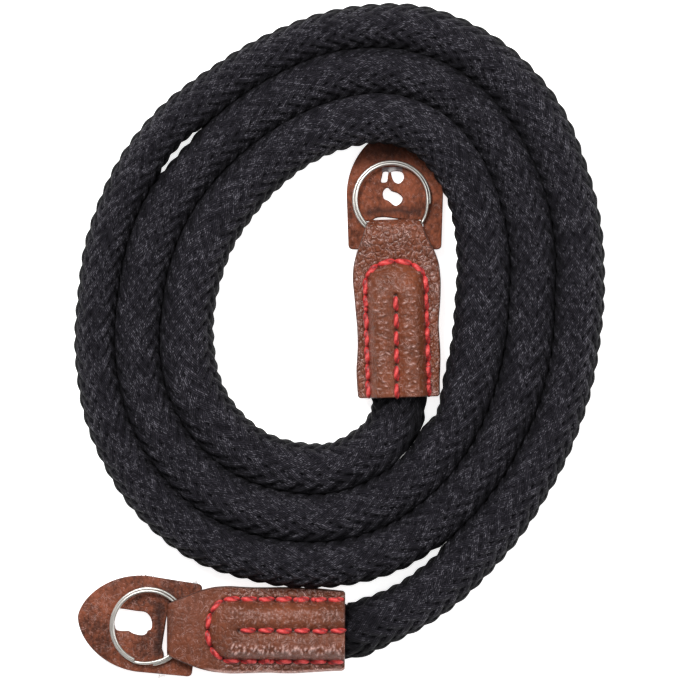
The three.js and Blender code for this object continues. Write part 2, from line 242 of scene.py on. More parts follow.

# Creases: how far they stray from their columns in mm, half length and distance in steps, half breadth
# and height in mm, slant
CREASE_STRAY = 0.7
CREASE_REACH = (0.18, 0.6)
CREASE_PITCH = (0.7, 1.3)
CREASE_BREADTH = (0.14, 0.32)
CREASE_HEIGHT = (0.06, 0.26)
CREASE_SLANT = 0.5
CREASES_FROM = -1.5 * MM  # from the centre line's start
CREASES_SHORT = 1 * MM  # of the mouth

# Stitches
STITCH_COUNT = 18  # round the arch, from mouth to mouth
SEAM_SHORT = 0.1 * MM  # the seam starts this far short of the mouth
STITCH_RINGS = 13
STITCH_SIDES = 10
SEAM_POINTS = 24  # of the seam, for each stitch
CENTRE_STITCHES = 6
CENTRE_END = 0.08  # as stitch_end and stitch_pinch, for the centre line
CENTRE_PINCH = 0.4
CENTRE_PAST = 0.5 * MM  # the centre line ends this far past the mouth
THREAD_RADIUS = 0.86 * MM
CENTRE_THREAD = 0.82  # of the other threads' radius
THREAD_SPREAD = (0.92, 1.06)  # girths of the threads, where their mean is about 1
PLY_DENT = 0.12  # part of the girth that is lost between two plies
PLY_TWIST = 4  # radians along a stitch
THREAD_FLAT = 0.8  # height of the thread, where its breadth is 1
SEAM_SLANT = (0.02, 0.12)  # in mm, how far the ends of a stitch lie off the seam
CENTRE_STRAY = 0.1  # in mm
CENTRE_SLANT = 0.22 * MM

# Rings: the sizes of the solids, then the wire, which is finer than in them
RING_OUTER = 9.5 * MM
RING_INNER = 7.95 * MM
RING_COIL = 0.75 * MM
RING_RISE = 0.85 * MM
RING_WIRE = 0.73 * MM
RING_LOWER = 9.15 * MM  # radius of the lower coil's middle line
RING_UPPER = 8.57 * MM
RING_JOG = math.radians(44)  # over which the wire climbs from the lower coil to the upper one
RING_ENDS = math.radians(30)  # between the wire's two ends
RING_END_GIRTH = 0.88  # of the wire, where its ends are rounded off

# Guards: as in the solids, apart from the outlines of their slits and windows
GUARD_THICKNESS = 1.5 * MM
GUARD_HALF = 11.6 * MM
GUARD_BASE_HALF = 11.2 * MM
GUARD_BASE = 7.3 * MM
GUARD_SHOULDER = -5.8 * MM
GUARD_TIP = -21.7 * MM
GUARD_TAPER = 0.6
GUARD_CORNER = 1.0 * MM
GUARD_BEVEL = 0.3 * MM
FIBRE_RADIUS = 0.07 * MM
BEND_PLACE = -1.8 * MM  # where a guard bends beside its slit
BEND_HALF = 1.6 * MM
SLIT_TO = 1.95 * MM
SLIT_HALF = 7.1 * MM
HARDWARE_HEIGHT = 1.95 * MM
HARDWARE_TILT = math.radians(5)

# Openings of the lug windows and the visible edges of the slits, in mm from the fold along and across
WINDOWS = {
    "inner": (
        ((-11.4, -2.45), (-11.4, -1.3), (-10.4, -1.4), (-9.0, -1.7), (-8.9, -2.95), (-10.4, -2.75)),
        (
            (-11.4, -0.5), (-11.5, 1.6), (-10.9, 2.35), (-9.6, 2.35), (-8.6, 1.3), (-9.0, 0.15),
            (-10.6, -0.5),
        ),
        (
            (-7.6, -1.5), (-6.8, -0.5), (-6.2, 1.1), (-5.1, 2.15), (-3.8, 1.6), (-3.2, 0.4),
            (-4.4, -1.2), (-4.9, -2.3), (-6.7, -2.5),
        ),
    ),
    "outer": (
        (
            (-12.5, 3.4), (-11.4, 3.5), (-7.9, 3.4), (-5.5, 3.35), (-4.4, 2.55), (-3.7, 1.05),
            (-3.75, -0.5), (-4.5, -0.95), (-4.7, -1.6), (-5.7, -2.2), (-7.9, -2.1), (-9.2, -1.6),
            (-10.1, -1.75), (-12.3, -1.6),
        ),
    ),
}
SLIT_EDGES = {
    "inner": (
        (0.5, -7.2), (0.4, -5.4), (-0.25, -4.3), (-0.5, -2.5), (-0.34, -0.8), (-0.1, 0.8), (0.1, 2.5),
        (0.5, 7.2),
    ),
    "outer": (
        (0.2, -7.2), (-0.1, -5.8), (-0.58, -4.8), (-0.6, -2.5), (-0.5, 0), (-0.42, 2.5), (-0.2, 4.5),
        (0.2, 7.2),
    ),
}

# Colours in linear light, some of them as stops of a ramp
ROPE_TONES = (
    (0.0, (0.005, 0.0045, 0.0064)),
    (0.15, (0.016, 0.0146, 0.0199)),
    (0.5, (0.056, 0.0522, 0.066)),
    (1.0, (0.23, 0.22, 0.256)),
)
# Painted shade on the rope's flanks and between its strands
ROPE_SHADE = (0.0022, 0.002, 0.0028, 1)
HIDE_BROWN = (0.188, 0.053, 0.024)
WORN_BROWN = (0.174, 0.0515, 0.026)
GUARD_BROWN = (0.177, 0.048, 0.022)
# Painted shade in the grooves between the pebbles
GROOVE_SHADE_BROWN = (0.06, 0.016, 0.009, 1)
# Painted shade where a guard bends, and the rope's painted shadow on its tip
SHADE_BROWN = (0.03, 0.011, 0.008, 1)
CUT_BROWN = (0.05, 0.017, 0.012, 1)
# Painted shade in the needle holes
HOLE_SHADE_BLACK = (0.006, 0.003, 0.003, 1)
# Painted highlights on the hide
HIGHLIGHT_PALE = (0.74, 0.46, 0.41, 1)
# A grey lip with a painted highlight in its middle
LIP_GREYS = ((0.15, (0.62, 0.6, 0.6)), (0.45, (0.2, 0.175, 0.18)))
FIBRE_BROWNS = ((0.3, (0.05, 0.018, 0.012)), (0.7, (0.11, 0.04, 0.025)))
# Dark between the plies and pale on their backs: painted shade and painted highlight
THREAD_REDS = ((0.38, (0.24, 0.008, 0.008)), (0.6, (0.58, 0.024, 0.024)), (0.8, (0.86, 0.09, 0.085)))
STEEL_GREYS = ((0.3, (0.6, 0.58, 0.54)), (0.7, (0.7, 0.675, 0.63)))
FLOOR_WHITES = ((0.3, (0.9, 0.9, 0.9)), (0.7, (0.93, 0.93, 0.93)))


def smooth_step(low, high, value):
    t = np.clip((value - low) / (high - low), 0, 1)
    return t * t * (3 - 2 * t)


def new_object(name, points, faces, material):
    """A smooth mesh object with its points in the frame."""
    mesh = bpy.data.meshes.new(name)
    mesh.from_pydata([tuple(p) for p in points], [], faces)
    return show_mesh(name, mesh, material)


def show_mesh(name, mesh, material):
    mesh.materials.clear()
    mesh.materials.append(material)
    mesh.polygons.foreach_set("use_smooth", [True] * len(mesh.polygons))
    mesh.update()
    obj = bpy.data.objects.new(name, mesh)
    bpy.context.scene.collection.objects.link(obj)
    return obj


def clean_mesh(mesh, weld):
    """Welds points that coincide and turns all faces outwards."""
    work = bmesh.new()
    work.from_mesh(mesh)
    bmesh.ops.remove_doubles(work, verts=work.verts, dist=weld)
    bmesh.ops.dissolve_degenerate(work, edges=work.edges, dist=weld)
    bmesh.ops.recalc_face_normals(work, faces=work.faces)
    work.to_mesh(mesh)
    work.free()


def loft_faces(rows, columns, capped=False):
    """Quads between closed loops of points that follow each other, and faces that close the two ends."""
    faces = []
    for i in range(rows - 1):
        for j in range(columns):
            k = (j + 1) % columns
            faces.append((i * columns + j, i * columns + k, (i + 1) * columns + k, (i + 1) * columns + j))
    if capped:
        faces.append(tuple(range(columns))[::-1])
        faces.append(tuple(range((rows - 1) * columns, rows * columns)))
    return faces


def joined(lofts):
    """Points and faces of one mesh, from closed lofts of rows x columns points."""
    faces = []
    base = 0
    for loft in lofts:
        rows, columns = loft.shape[:2]
        faces.extend(tuple(base + k for k in face) for face in loft_faces(rows, columns, capped=True))
        base += rows * columns
    return np.vstack([loft.reshape(-1, 3) for loft in lofts]), faces


def mesh_points(mesh):
    flat = np.empty(len(mesh.vertices) * 3)
    mesh.vertices.foreach_get("co", flat)
    return flat.reshape(-1, 3)


def set_attribute(mesh, name, values):
    layer = mesh.attributes.new(name, "FLOAT", "POINT")
    layer.data.foreach_set("value", np.asarray(values, dtype=np.float32))


def transformed(matrix, points):
    m = np.array(matrix)
    return points @ m[:3, :3].T + m[:3, 3]


def unit_rows(vectors):
    return vectors / np.linalg.norm(vectors, axis=1)[:, None]


def run_along(line):
    """Distance from the start of the line to each of its points."""
    return np.concatenate(([0], np.cumsum(np.linalg.norm(np.diff(line, axis=0), axis=1))))


def at_places(places, known, rows):
    """Rows of numbers at the places, between those that are known."""
    return np.column_stack([np.interp(places, known, column) for column in rows.T])


def curve_spans(points, per_span, closed=False):
    """A centripetal Catmull-Rom curve through the points, sampled evenly in each span."""
    points = np.asarray(points, float)
    if closed:
        points = np.vstack((points[-1:], points, points[:2]))
    else:
        points = np.vstack((2 * points[0] - points[1], points, 2 * points[-1] - points[-2]))
    samples = []
    t = np.linspace(0, 1, per_span, endpoint=False)[:, None]
    for p0, p1, p2, p3 in zip(points, points[1:], points[2:], points[3:]):
        d0, d1, d2 = (math.sqrt(np.linalg.norm(q - p)) for p, q in ((p0, p1), (p1, p2), (p2, p3)))
        m1 = d1 * ((p1 - p0) / d0 - (p2 - p0) / (d0 + d1) + (p2 - p1) / d1)
        m2 = d1 * ((p2 - p1) / d1 - (p3 - p1) / (d1 + d2) + (p3 - p2) / d2)
        samples.append(
            p1 + t * m1 + t**2 * (-3 * p1 + 3 * p2 - 2 * m1 - m2) + t**3 * (2 * p1 - 2 * p2 + m1 + m2)
        )
    if not closed:
        samples.append(points[-2:-1])
    return np.vstack(samples)


# Materials

class Value:
    """An output of a node. Arithmetic with it adds math nodes."""

    def __init__(self, nodes, socket):
        self.nodes = nodes
        self.socket = socket

    def __add__(self, other):
        return self.nodes.math("ADD", self, other)

    def __sub__(self, other):
        return self.nodes.math("SUBTRACT", self, other)

    def __rsub__(self, other):
        return self.nodes.math("SUBTRACT", other, self)

    def __mul__(self, other):
        return self.nodes.math("MULTIPLY", self, other)

    def __truediv__(self, other):
        return self.nodes.math("DIVIDE", self, other)

    def __pow__(self, other):
        return self.nodes.math("POWER", self, other)

    def __abs__(self):
        return self.nodes.math("ABSOLUTE", self)


class Nodes:
    """Builds the node tree of one material with short calls."""

    def __init__(self, name):
        self.material = bpy.data.materials.new(name)
        self.material.use_nodes = True
        self.tree = self.material.node_tree
        self.shader = self.tree.nodes["Principled BSDF"]

    def add(self, kind, **settings):
        node = self.tree.nodes.new(kind)
        for key, value in settings.items():
            setattr(node, key, value)
        return node

    def feed(self, socket, value):
        if isinstance(value, Value):
            self.tree.links.new(value.socket, socket)
        else:
            socket.default_value = value

    def output(self, node, key, **inputs):
        """One output of the node, once its inputs are fed."""
        for name, value in inputs.items():
            self.feed(node.inputs[name], value)
        return Value(self, node.outputs[key])

    def math(self, operation, *values, kind="ShaderNodeMath"):
        node = self.add(kind, operation=operation)
        for socket, value in zip(node.inputs, values):
            self.feed(socket, value)
        return Value(self, node.outputs[0])

    def rounded(self, value):
        """1 in the middle of a value from -0.5 to 0.5, falling to 0 as a circle does."""
        return self.math("SQRT", 1 - abs(value) ** 2 * 4)

    def limited(self, value):
        return self.output(self.add("ShaderNodeClamp"), 0, Value=value)

    def mixed(self, data_type, first, key, factor, low, high):
        node = self.add("ShaderNodeMix", data_type=data_type)
        for index, value in ((0, factor), (first, low), (first + 1, high)):
            self.feed(node.inputs[index], value)
        return Value(self, node.outputs[key])

    def blend(self, factor, low, high):
        """The number low where the factor is 0, and high where it is 1."""
        return self.mixed("FLOAT", 2, 0, factor, low, high)

    def tint(self, factor, base, over):
        """The colour base where the factor is 0, and over where it is 1."""
        return self.mixed("RGBA", 6, 2, factor, base, over)

    def colour(self, factor, stops):
        """A colour from stops of (place, (red, green, blue)) in linear light."""
        node = self.add("ShaderNodeValToRGB")
        ramp = node.color_ramp
        while len(ramp.elements) < len(stops):
            ramp.elements.new(0.5)
        for element, (place, rgb) in zip(ramp.elements, stops):
            element.position = place
            element.color = (*rgb, 1)
        return self.output(node, 0, Fac=factor)

    def place(self):
        return self.output(self.add("ShaderNodeTexCoord"), "Object")

    def uv(self, name):
        return self.output(self.add("ShaderNodeUVMap", uv_map=name), 0)

    def attribute(self, name):
        return self.output(self.add("ShaderNodeAttribute", attribute_name=name), "Fac")

    def parts(self, vector):
        node = self.add("ShaderNodeSeparateXYZ")
        return [self.output(node, key, Vector=vector) for key in range(3)]

    def vector(self, x, y, z):
        return self.output(self.add("ShaderNodeCombineXYZ"), 0, X=x, Y=y, Z=z)

    def stretched(self, vector, scale):
        return self.output(self.add("ShaderNodeMapping"), 0, Vector=vector, Scale=scale)

    def noise(self, vector, scale, detail=2.0, roughness=0.5, key="Fac"):
        node = self.add("ShaderNodeTexNoise")
        return self.output(node, key, Vector=vector, Scale=scale, Detail=detail, Roughness=roughness)

    def chance(self, vector):
        node = self.add("ShaderNodeTexWhiteNoise", noise_dimensions="3D")
        return self.output(node, "Value", Vector=vector)

    def cells(self, vector, scale, feature="F1"):
        node = self.add("ShaderNodeTexVoronoi", feature=feature)
        return self.output(node, "Distance", Vector=vector, Scale=scale)

    def bump(self, height, distance):
        node = self.add("ShaderNodeBump")
        normal = self.output(node, 0, Height=height, Distance=distance, Strength=1.0)
        self.feed(self.shader.inputs["Normal"], normal)

    def finish(self, **sockets):
        for name, value in sockets.items():
            self.feed(self.shader.inputs[name.replace("_", " ")], value)
        return self.material


def rope_material():
    n = Nodes("rope_yarn")
    right, left, _ = n.parts(n.uv("braid"))

    def strand(own, other, sign):
        """Number of the strand, place across it, height as in braid_height, and its crown alone."""
        number = n.math("FLOOR", own + 0.5)
        across = own - number
        sway = n.math("COSINE", (number + other - 0.5) * (math.pi / 2)) * (sign * STRAND_SWAY / MM)
        crown = n.rounded(across) * (STRAND_CROWN / MM)
        return number, across, sway + crown, crown

    right_number, right_across, right_height, right_crown = strand(right, left, 1)
    left_number, left_across, left_height, left_crown = strand(left, right, -1)
    apart = 40.5  # keeps the numbers of the two ways apart
    on_right = n.math("GREATER_THAN", right_height, left_height)
    across = n.blend(on_right, left_across, right_across)
    along = n.blend(on_right, right, left)
    number = n.blend(on_right, left_number + apart, right_number)
    crown = n.blend(on_right, left_crown, right_crown)

    # Each strand is a flat bundle of twisted yarns, and each twist of a yarn gets a painted glint as its luck
    # has it
    place_in = across * YARNS
    yarn = n.math("FLOOR", place_in)
    off_middle = n.math("FRACT", place_in) - 0.5
    roundness = n.rounded(off_middle)
    twist = along * YARN_TWISTS + (off_middle + (yarn * 0.37 + number * 0.29))
    ply = abs(n.math("SINE", twist * math.pi))
    luck = n.chance(n.vector(n.math("FLOOR", twist), yarn, number))
    fibres = n.noise(n.vector(across * 16, along * 3, number * 7.3), 1.0, detail=3, roughness=0.65)
    patches = n.noise(n.place(), 260, detail=3)
    n.bump(roundness * 0.5 + ply * 0.45 + fibres * 0.6, YARN_BUMP)

    # Glint and sheen are highlights painted into the base colour
    spark = luck**6 * 0.64 + luck * 0.26
    glint = ply**2 * roundness**2 * spark * (patches * 2.8 - 0.5) * (crown + 0.2)
    hatch = roundness**3 * (ply * 0.6 + 0.4)
    sheen = hatch * fibres * 0.55 * (patches * 1.6 + 0.2)
    base = n.colour(glint + sheen, ROPE_TONES)

    # The flanks between the turns and the gaps between the strands are darkened with painted shade
    height = n.parts(n.place())[2]
    flank = n.limited((FLANK_TOP - height) / FLANK_DEPTH) * 0.9
    gap = n.limited(1.1 - crown) * 0.9
    base = n.tint(n.math("MAXIMUM", flank, gap), base, ROPE_SHADE)
    return n.finish(Base_Color=base, Roughness=0.55, Specular_IOR_Level=0.12)


def leather_material(name, hue, pebble_scale, wrinkle_scale, mottle, gloss, specular, marks=None):
    """Reddish brown hide. Attributes of the mesh say where its pebbles stand high (grain), where a highlight
    is painted on the backs of its creases and on a rim (crest), where it is cut (edge) and where the needle
    went through (hole), painted dark as shade. mottle is how far its tones lie apart: the less, the more it
    is mottled. marks gives layers of (factor, colour) over it."""
    n = Nodes(name)
    here = n.place()
    stray = (1.1 * MM,) * 3  # the pebbles are out of line by this much
    drift = n.noise(here, 480, key="Color")
    strayed = n.math("MULTIPLY_ADD", drift, stray, here, kind="ShaderNodeVectorMath")
    groove = n.cells(n.stretched(strayed, pebble_scale), 1.0, "DISTANCE_TO_EDGE")
    slope = 1 - n.math("MINIMUM", groove * 2.2, 1)
    pebbles = 1 - slope**2
    wrinkles = n.noise(n.stretched(here, wrinkle_scale), 1.0, detail=4, roughness=0.62)
    pores = n.noise(here, 3400)
    clouds = n.noise(here, 130, detail=3)
    grain, crest, edge, hole = (n.attribute(key) for key in ("grain", "crest", "edge", "hole"))

    # Highlights are painted pale on pieces of the pebbles' rims, in flecks and on the backs of the creases
    rims = 1 - n.math("MINIMUM", abs(groove - 0.1) * 14, 1)
    rims = rims * n.limited(n.noise(here, 700) * 6 - 3.0)
    flecks = 1 - n.math("MINIMUM", n.cells(strayed, 1500) * 3, 1)
    flecks = flecks * n.limited(n.noise(here, 1000) * 7 - 3.4)
    painted_glints = n.math("MAXIMUM", rims, flecks) * (grain * 0.9 + 0.15)
    painted_glints = n.math("MAXIMUM", painted_glints, crest * n.limited(pores * 5 - 1.3))
    n.bump(pebbles * (grain * 0.85) + wrinkles * 0.7 + painted_glints * 0.3 + pores * 0.25, 0.3 * MM)

    middle = 0.49  # mean of the clouds and wrinkles
    dark = tuple(0.45 * c for c in hue)
    pale = tuple(1.55 * c for c in hue)
    tone = clouds * 0.5 + wrinkles * 0.5
    base = n.colour(tone, ((middle - mottle, dark), (middle, hue), (middle + mottle, pale)))
    # Over the tones: painted shade in the grooves, painted highlights, the dark cut edge and painted shade in
    # the needle holes
    layers = [
        (slope**3 * (grain * 0.35), GROOVE_SHADE_BROWN),
        (painted_glints * 0.9, HIGHLIGHT_PALE),
        (edge * 0.75, CUT_BROWN),
        (hole * 0.95, HOLE_SHADE_BLACK),
    ]
    if marks:
        layers += marks(n)
    for factor, colour in layers:
        base = n.tint(factor, base, colour)
    rough = pores * 0.16 + (edge * 0.2 + gloss)
    return n.finish(Base_Color=base, Roughness=rough, Specular_IOR_Level=grain * specular + 0.1)


def guard_marks(end):
    """A guard has painted shade along the line where it bends beside the slit, and a painted shadow of the
    rope on its tip. Its lip over the windows is grey, with a painted highlight in its middle. The UV map of
    the guard holds its own coordinates in mm."""

    def marks(n):
        x, y, _ = n.parts(n.uv("guard"))
        wobble = n.noise(n.place(), 300) * 1.6 - 0.8
        # Painted shade along the bend beside the slit, and the rope's painted shadow on the tip
        bend = 1 - abs((x - BEND_PLACE / MM + wobble) / (BEND_HALF / MM))
        bend = n.limited(bend) * n.limited(SLIT_HALF / MM - abs(y))
        tip = n.limited((end["shade_from"] - x) / 5)
        layers = [(n.math("MAXIMUM", bend * 0.8, tip * 0.65), SHADE_BROWN)]
        if end["lip"]:
            # A grey lip, with a painted highlight in its middle
            near, far, half = end["lip"]
            along = n.limited(((near - far) / 2 - abs(x - (near + far) / 2)) * 5)
            across = n.limited((half - abs(y)) * 3)
            layers.append((along * across * 0.85, n.colour(abs(y) / half, LIP_GREYS)))
        return layers

    return marks


def thread_material():
    n = Nodes("thread_red")
    strands = n.noise(n.place(), 1700, detail=3, roughness=0.6)
    clouds = n.noise(n.place(), 300)
    ply = n.attribute("ply")
    n.bump(strands * 0.7 + ply * 0.6, 0.24 * MM)
    # Darker between the two plies and paler on their backs: painted shade and painted highlight, over the
    # strands' own tones
    base = n.colour(clouds * 0.2 + strands * 0.45 + ply * 0.42, THREAD_REDS)
    return n.finish(Base_Color=base, Roughness=0.45, Sheen_Weight=0.15)


def steel_material():
    n = Nodes("ring_steel")
    scratches = n.noise(n.stretched(n.place(), (900, 900, 4000)), 1.0, detail=3, roughness=0.7)
    base = n.colour(n.noise(n.place(), 240), STEEL_GREYS)
    return n.finish(Base_Color=base, Roughness=scratches * 0.1 + 0.34, Metallic=1.0)


def fibre_material():
    n = Nodes("fibre_brown")
    base = n.colour(n.noise(n.place(), 900), FIBRE_BROWNS)
    return n.finish(Base_Color=base, Roughness=0.7)


def floor_material():
    n = Nodes("floor_white")
    base = n.colour(n.noise(n.place(), 3), FLOOR_WHITES)
    return n.finish(
        Base_Color=base, Roughness=0.7, Specular_IOR_Level=0.2,
        Emission_Color=(1, 1, 1, 1), Emission_Strength=FLOOR_GLOW,
    )


# Places

def end_matrix(end):
    x, y = end["fold"]
    return Matrix.Translation((x * MM, y * MM, 0)) @ Matrix.Rotation(math.radians(end["heading"]), 4, "Z")


def hardware_matrix():
    return Matrix.Translation((0, 0, HARDWARE_HEIGHT)) @ Matrix.Rotation(-HARDWARE_TILT, 4, "Y")


def ring_matrix(end):
    x, y = end["ring_centre"]
    spot = Matrix.Translation((x * MM, y * MM, GUARD_THICKNESS + FIT))
    return hardware_matrix() @ spot @ Matrix.Rotation(math.radians(end["step_bearing"]), 4, "Z")


# Rope

def coil_points():
    """Rows of x, y, height of the underside, width and height of the section, in the order of the rope."""
    rows = []
    for turn in range(TURNS):
        for bearing, *edges, parting in COIL_ROWS:
            openings = (0, 0, parting, 0)
            near = (edges[turn] + openings[turn] / 2) * MM
            far = (edges[turn + 1] - openings[turn + 1] / 2) * MM
            ray = np.array((math.cos(math.radians(bearing)), math.sin(math.radians(bearing))))
            off = (bearing - LIFT_BEARING) / LIFT_REACH
            lift = 0.0
            if turn == 0 and abs(off) < 1:
                lift = GUARD_LIFT * math.cos(math.pi / 2 * off) ** 2
            rows.append((COIL_CENTRE + ray * (near + far) / 2, lift, ray, far - near - TURN_GAP))
    points = []
    for i, (place, lift, ray, room) in enumerate(rows):
        way = rows[min(i + 1, len(rows) - 1)][0] - rows[max(i - 1, 0)][0]
        square = abs(way[0] * ray[1] - way[1] * ray[0]) / np.linalg.norm(way)
        points.append((*place, lift, min(ROPE_WIDTH, room * square), ROPE_HEIGHT))
    return points


def pocket_points(end):
    place = end_matrix(end)
    spots = [place @ Vector((along, 0, 0)) for along in POCKET_STOPS]
    return [(p.x, p.y, POCKET_FLOOR + FIT, POCKET_WIDTH, POCKET_HEIGHT) for p in spots]


def lead_points(rows):
    return [(x * MM, y * MM, 0.0, width * MM, height * MM) for x, y, width, height in rows]


def rope_rows(step):
    """Centres and section sizes at equal steps along the rope, and the rope's length."""
    stops = np.array(
        pocket_points(ENDS[0]) + lead_points(LEAD_IN) + coil_points()
        + lead_points(LEAD_OUT) + pocket_points(ENDS[1])[::-1]
    )
    centres = np.column_stack((stops[:, :2], stops[:, 2] + stops[:, 4] / 2))
    line = curve_spans(centres, SPAN_POINTS)
    run = run_along(line)
    at = np.linspace(0, run[-1], int(run[-1] / step) + 1)
    spot = np.interp(at, run, np.arange(len(line)) / SPAN_POINTS)
    size = at_places(spot, np.arange(len(stops)), stops[:, 3:])
    return at_places(at, run, line), size, run[-1]


def side_gaps(centre, way, width, step):
    """Gaps between each row and the nearest other turn, on its left and on its right."""
    apart = centre[None, :, :2] - centre[:, None, :2]
    gap = np.linalg.norm(apart, axis=2) - (width[None] + width[:, None]) / 2
    row = np.arange(len(centre))
    gap[np.abs(row[None] - row[:, None]) * step < SAME_TURN] = np.inf
    leftward = apart[..., 1] * way[:, None, 0] - apart[..., 0] * way[:, None, 1]
    return (np.where(side * leftward > 0, gap, np.inf).min(axis=1)[:, None] for side in (1, -1))


def braid_height(right, left):
    """Height of the braid's surface. right and left count the strands of the two ways, with each strand's
    middle at a whole number."""

    def strand(own, other, sign):
        number = np.floor(own + 0.5)
        sway = sign * STRAND_SWAY * np.cos(math.pi / 2 * (number + other - 0.5))
        return sway + STRAND_CROWN * np.sqrt(np.maximum(0, 1 - 4 * (own - number) ** 2))

    return np.maximum(strand(right, left, 1), strand(left, right, -1))


def build_rope(material):
    columns = STRANDS * STRAND_POINTS
    step = STRANDS * STRAND_PITCH / (2 * columns)
    centre, size, length = rope_rows(step)
    rows = len(centre)
    way = unit_rows(np.gradient(centre[:, :2], axis=0))

    # Every other row is shifted by half a column, so that the faces run along the strands
    row = np.arange(rows)[:, None]
    column = np.arange(columns)[None] + 0.5 * (row % 2)
    right = (column - row / 2) / STRAND_POINTS
    left = (column + row / 2) / STRAND_POINTS
    angle = 2 * math.pi * column / columns
    swell = SWELL * sum(np.sin(row * step * wave + start) for wave, start in SWELL_WAVES)
    rise = braid_height(right, left) - STRAND_CROWN - STRAND_SWAY + BRAID_PROUD + swell

    # Where two turns lie against each other, their strands are pressed out as far as the middle of the gap
    left_gap, right_gap = side_gaps(centre, way, size[:, 0], step)
    gap = np.where(np.cos(angle) > 0, left_gap, right_gap)
    press = 1 - smooth_step(PRESSED_GAP, FREE_GAP, gap)
    contact = size[:, :1] / 2 + gap / 2
    across = np.cos(angle) * (size[:, :1] / 2 + rise + SQUEEZE * press * np.cos(angle) ** SQUEEZE_POWER)
    across = np.clip(across, -contact, contact)
    up = np.sin(angle) * (size[:, 1:] / 2 + rise)
    points = np.stack((
        centre[:, :1] - way[:, 1:] * across,
        centre[:, 1:2] + way[:, :1] * across,
        np.maximum(centre[:, 2:] + up, 0),
    ), axis=2)

    def at(i, j):
        return i * columns + j % columns

    faces = []
    marks = []
    cell = 1 / STRAND_POINTS
    for i in range(rows - 2):
        for j in range(columns):
            k = j + i % 2
            faces.append((at(i, j), at(i + 1, k), at(i + 2, j), at(i + 1, k - 1)))
            u, v = right[i, j], left[i, j]
            marks.extend((u, v, u, v + cell, u - cell, v + cell, u - cell, v))
    # The zigzag rims at the two ends, then the ends themselves
    last = rows - 1
    faces += [(at(0, j), at(0, j + 1), at(1, j)) for j in range(columns)]
    faces += [(at(last, j), at(last - 1, j + last % 2), at(last, j + 1)) for j in range(columns)]
    faces.append(tuple(range(columns))[::-1])
    faces.append(tuple(range(last * columns, rows * columns)))
    marks.extend((0, 0) * (8 * columns))

    rope = new_object("rope_braid", points.reshape(-1, 3), faces, material)
    layer = rope.data.uv_layers.new(name="braid")
    layer.data.foreach_set("uv", np.asarray(marks, dtype=np.float32))
    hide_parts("rope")
    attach(rope, "root")
    return rope


# Leather ends

